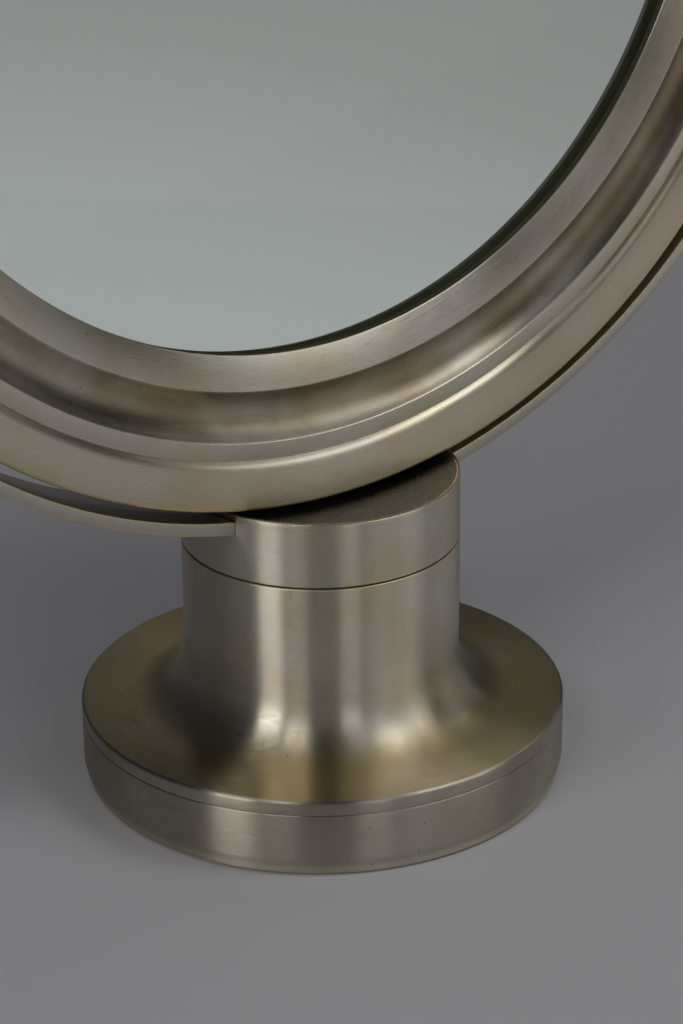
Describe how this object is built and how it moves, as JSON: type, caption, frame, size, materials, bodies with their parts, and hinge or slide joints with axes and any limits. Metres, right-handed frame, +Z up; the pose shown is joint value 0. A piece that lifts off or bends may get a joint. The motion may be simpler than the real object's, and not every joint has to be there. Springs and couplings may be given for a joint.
{
  "type": "table vanity mirror",
  "caption": "Free-standing round vanity mirror that tilts in a half-hoop yoke, on a turning collar over a weighted round foot.",
  "frame": {"origin": "on the floor, under the middle of the round foot", "axes": "+Z up along the column, -Y towards the front that the mirror faces, X along the pivot axis through the two ends of the yoke"},
  "size_m": [0.4232, 0.15, 0.4922],
  "materials": {
    "satin_nickel": "satin nickel plate on spun brass, fine turned brushing, brass showing on worn edges",
    "dark_nickel": "polished nickel plate on brass, smooth and darker",
    "zinc_steel": "zinc plated steel",
    "plain_brass": "unplated machined brass",
    "iron": "bare cast iron",
    "felt": "dense dark wool felt",
    "fibre": "vulcanised fibre",
    "nylon": "natural nylon",
    "mirror": "silvered float glass",
    "hardboard": "hardboard",
    "black_enamel": "black stove enamel"
  },
  "bodies": {
    "foot": {"felt_pad": "felt", "base_plate": "zinc_steel", "base_screws": "zinc_steel", "ballast": "iron", "foot_ring": "satin_nickel", "foot_cover": "satin_nickel", "tie_rod": "zinc_steel", "rod_washer": "zinc_steel", "rod_nut": "zinc_steel", "column_plate": "zinc_steel", "plate_nut": "zinc_steel", "glide_ring": "fibre", "spring_washer": "zinc_steel", "top_nut": "zinc_steel"},
    "yoke": {"collar": "satin_nickel", "collar_bush": "plain_brass", "fibre_washer": "fibre", "yoke_strip": "satin_nickel", "yoke_screws": "zinc_steel", "dish_cap": "dark_nickel", "pivot_bushes": "nylon"},
    "head": {"front_frame": "satin_nickel", "mirror_glass": "mirror", "backing_board": "hardboard", "clip_posts": "plain_brass", "glass_clips": "zinc_steel", "clip_screws": "zinc_steel", "frame_lugs": "plain_brass", "back_cover": "black_enamel", "cover_screws": "zinc_steel", "pivot_blocks": "plain_brass", "pivot_spacers": "zinc_steel", "pivot_springs": "zinc_steel", "pivot_screws": "satin_nickel"}
  },
  "joints": [
    {"name": "swivel", "type": "hinge", "parent": "foot", "child": "yoke", "pos_m": [0, 0, 0.0776], "axis": [0, 0, 1], "continuous": true},
    {"name": "tilt", "type": "hinge", "parent": "yoke", "child": "head", "pos_m": [0, 0, 0.29371], "axis": [1, 0, 0], "continuous": true}
  ]
}
